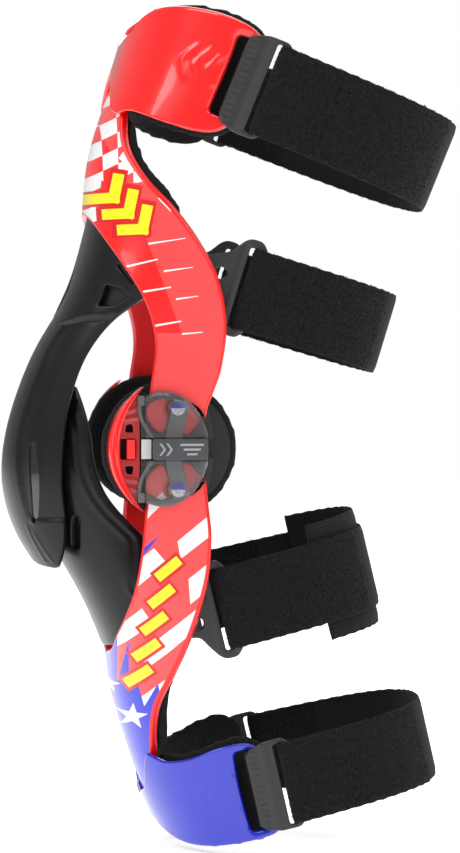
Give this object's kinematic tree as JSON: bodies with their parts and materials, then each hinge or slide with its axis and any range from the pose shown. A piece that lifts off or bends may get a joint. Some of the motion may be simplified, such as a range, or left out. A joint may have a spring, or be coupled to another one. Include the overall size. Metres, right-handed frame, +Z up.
{
  "type": "hinged knee guard",
  "caption": "Hinged off-road knee brace: moulded thigh and shin frames with cuffs, overlapping kneecap guards, twin-pivot side hinges and loop-faced straps.",
  "frame": {"origin": "centre of the knee: midway between the two side hinges and midway between each hinge's two pivots", "axes": "+Z up the leg from shin to thigh, -Y to the front of the knee, +X to the outer (lateral) side"},
  "size_m": [0.1726, 0.2297, 0.423],
  "materials": {
    "red_shell": "glossy moulded frame in red livery",
    "blue_shell": "glossy blue cuff",
    "black_guard": "satin black guard",
    "grey_plastic": "dark grey clip and tab",
    "strap": "black loop-faced webbing",
    "foam": "black covered foam",
    "hinge_metal": "dark anodised plate",
    "screw": "steel screw",
    "bush": "sleeve",
    "clear_cover": "smoked clear dome",
    "light_plastic": "light grey moulding"
  },
  "bodies": {
    "thigh": {"thigh_frame": "red_shell", "thigh_cuff": "red_shell", "thigh_cuff_liner": "foam", "thigh_frame_liner": "foam", "upper_knee_guard": "black_guard", "thigh_fasteners": "screw", "thigh_strap": "strap", "lower_thigh_strap": "strap", "lateral_lower_thigh_tab": "grey_plastic", "medial_lower_thigh_tab": "grey_plastic", "lateral_lower_thigh_strap_end": "strap", "medial_lower_thigh_strap_end": "strap"},
    "lateral_link": {"lateral_condyle_pad": "foam", "lateral_pad_plate": "grey_plastic", "lateral_inner_hinge_plate": "hinge_metal", "lateral_outer_hinge_plate": "hinge_metal", "lateral_link_bar": "hinge_metal", "lateral_hinge_rim": "red_shell", "lateral_hinge_cover": "clear_cover", "lateral_hinge_badge": "grey_plastic", "lateral_pivot_screws": "screw", "lateral_pivot_bushes": "bush", "lateral_ligament": "light_plastic", "lateral_stop_wedge": "light_plastic"},
    "medial_link": {"medial_condyle_pad": "foam", "medial_pad_plate": "grey_plastic", "medial_inner_hinge_plate": "hinge_metal", "medial_outer_hinge_plate": "hinge_metal", "medial_link_bar": "hinge_metal", "medial_hinge_rim": "red_shell", "medial_hinge_cover": "clear_cover", "medial_hinge_badge": "grey_plastic", "medial_pivot_screws": "screw", "medial_pivot_bushes": "bush", "medial_ligament": "light_plastic", "medial_stop_wedge": "light_plastic"},
    "shin": {"shin_frame": "red_shell", "shin_cuff": "blue_shell", "shin_cuff_liner": "foam", "shin_frame_liner": "foam", "lower_knee_guard": "black_guard", "shin_fasteners": "screw", "upper_calf_strap": "strap", "upper_calf_strap_pad": "strap", "calf_strap": "strap", "lateral_upper_calf_tab": "grey_plastic", "medial_upper_calf_tab": "grey_plastic", "lateral_upper_calf_strap_end": "strap", "medial_upper_calf_strap_end": "strap"},
    "lateral_thigh_clip": {"lateral_thigh_clip": "grey_plastic", "lateral_thigh_strap_end": "strap"},
    "lateral_calf_clip": {"lateral_calf_clip": "grey_plastic", "lateral_calf_strap_end": "strap"},
    "lateral_latch": {"lateral_stop_latch": "red_shell"},
    "medial_thigh_clip": {"medial_thigh_clip": "grey_plastic", "medial_thigh_strap_end": "strap"},
    "medial_calf_clip": {"medial_calf_clip": "grey_plastic", "medial_calf_strap_end": "strap"},
    "medial_latch": {"medial_stop_latch": "red_shell"}
  },
  "joints": [
    {"name": "knee_flexion", "type": "hinge", "parent": "thigh", "child": "lateral_link", "pos_m": [0, 0, 0.02], "axis": [1, 0, 0], "range_deg": [-2.5, 50], "deforming": ["thigh_strap", "lower_thigh_strap", "upper_calf_strap", "upper_calf_strap_pad", "calf_strap", "lateral_thigh_strap_end", "lateral_lower_thigh_strap_end", "lateral_upper_calf_strap_end", "lateral_calf_strap_end", "medial_thigh_strap_end", "medial_lower_thigh_strap_end", "medial_upper_calf_strap_end", "medial_calf_strap_end"]},
    {"name": "lateral_shin_hinge", "type": "hinge", "parent": "lateral_link", "child": "shin", "pos_m": [0, 0, -0.02], "axis": [1, 0, 0], "range_deg": [-2.5, 50]},
    {"name": "medial_link_hinge", "type": "hinge", "parent": "thigh", "child": "medial_link", "pos_m": [0, 0, 0.02], "axis": [1, 0, 0], "range_deg": [-2.5, 50]},
    {"name": "lateral_thigh_clip_hinge", "type": "hinge", "parent": "thigh", "child": "lateral_thigh_clip", "pos_m": [0.0762, 0.02999, 0.18089], "axis": [-0.0817, -0.3653, -0.9273], "range_deg": [0, 18]},
    {"name": "medial_thigh_clip_hinge", "type": "hinge", "parent": "thigh", "child": "medial_thigh_clip", "pos_m": [-0.0762, 0.02999, 0.18089], "axis": [-0.0817, 0.3653, 0.9273], "range_deg": [0, 18]},
    {"name": "lateral_calf_clip_hinge", "type": "hinge", "parent": "shin", "child": "lateral_calf_clip", "pos_m": [0.0668, 0.04063, -0.16818], "axis": [-0.04, 0.2248, -0.9736], "range_deg": [0, 18]},
    {"name": "medial_calf_clip_hinge", "type": "hinge", "parent": "shin", "child": "medial_calf_clip", "pos_m": [-0.0668, 0.04063, -0.16818], "axis": [-0.04, -0.2248, 0.9736], "range_deg": [0, 18]},
    {"name": "lateral_latch_slide", "type": "slide", "parent": "lateral_link", "child": "lateral_latch", "axis": [0, -1, 0], "range_m": [0, 0.0028]},
    {"name": "medial_latch_slide", "type": "slide", "parent": "medial_link", "child": "medial_latch", "axis": [0, -1, 0], "range_m": [0, 0.0028]}
  ],
  "couplings": [
    {"joint": "lateral_shin_hinge", "follows": "knee_flexion", "ratio": 1},
    {"joint": "medial_link_hinge", "follows": "knee_flexion", "ratio": 1}
  ]
}
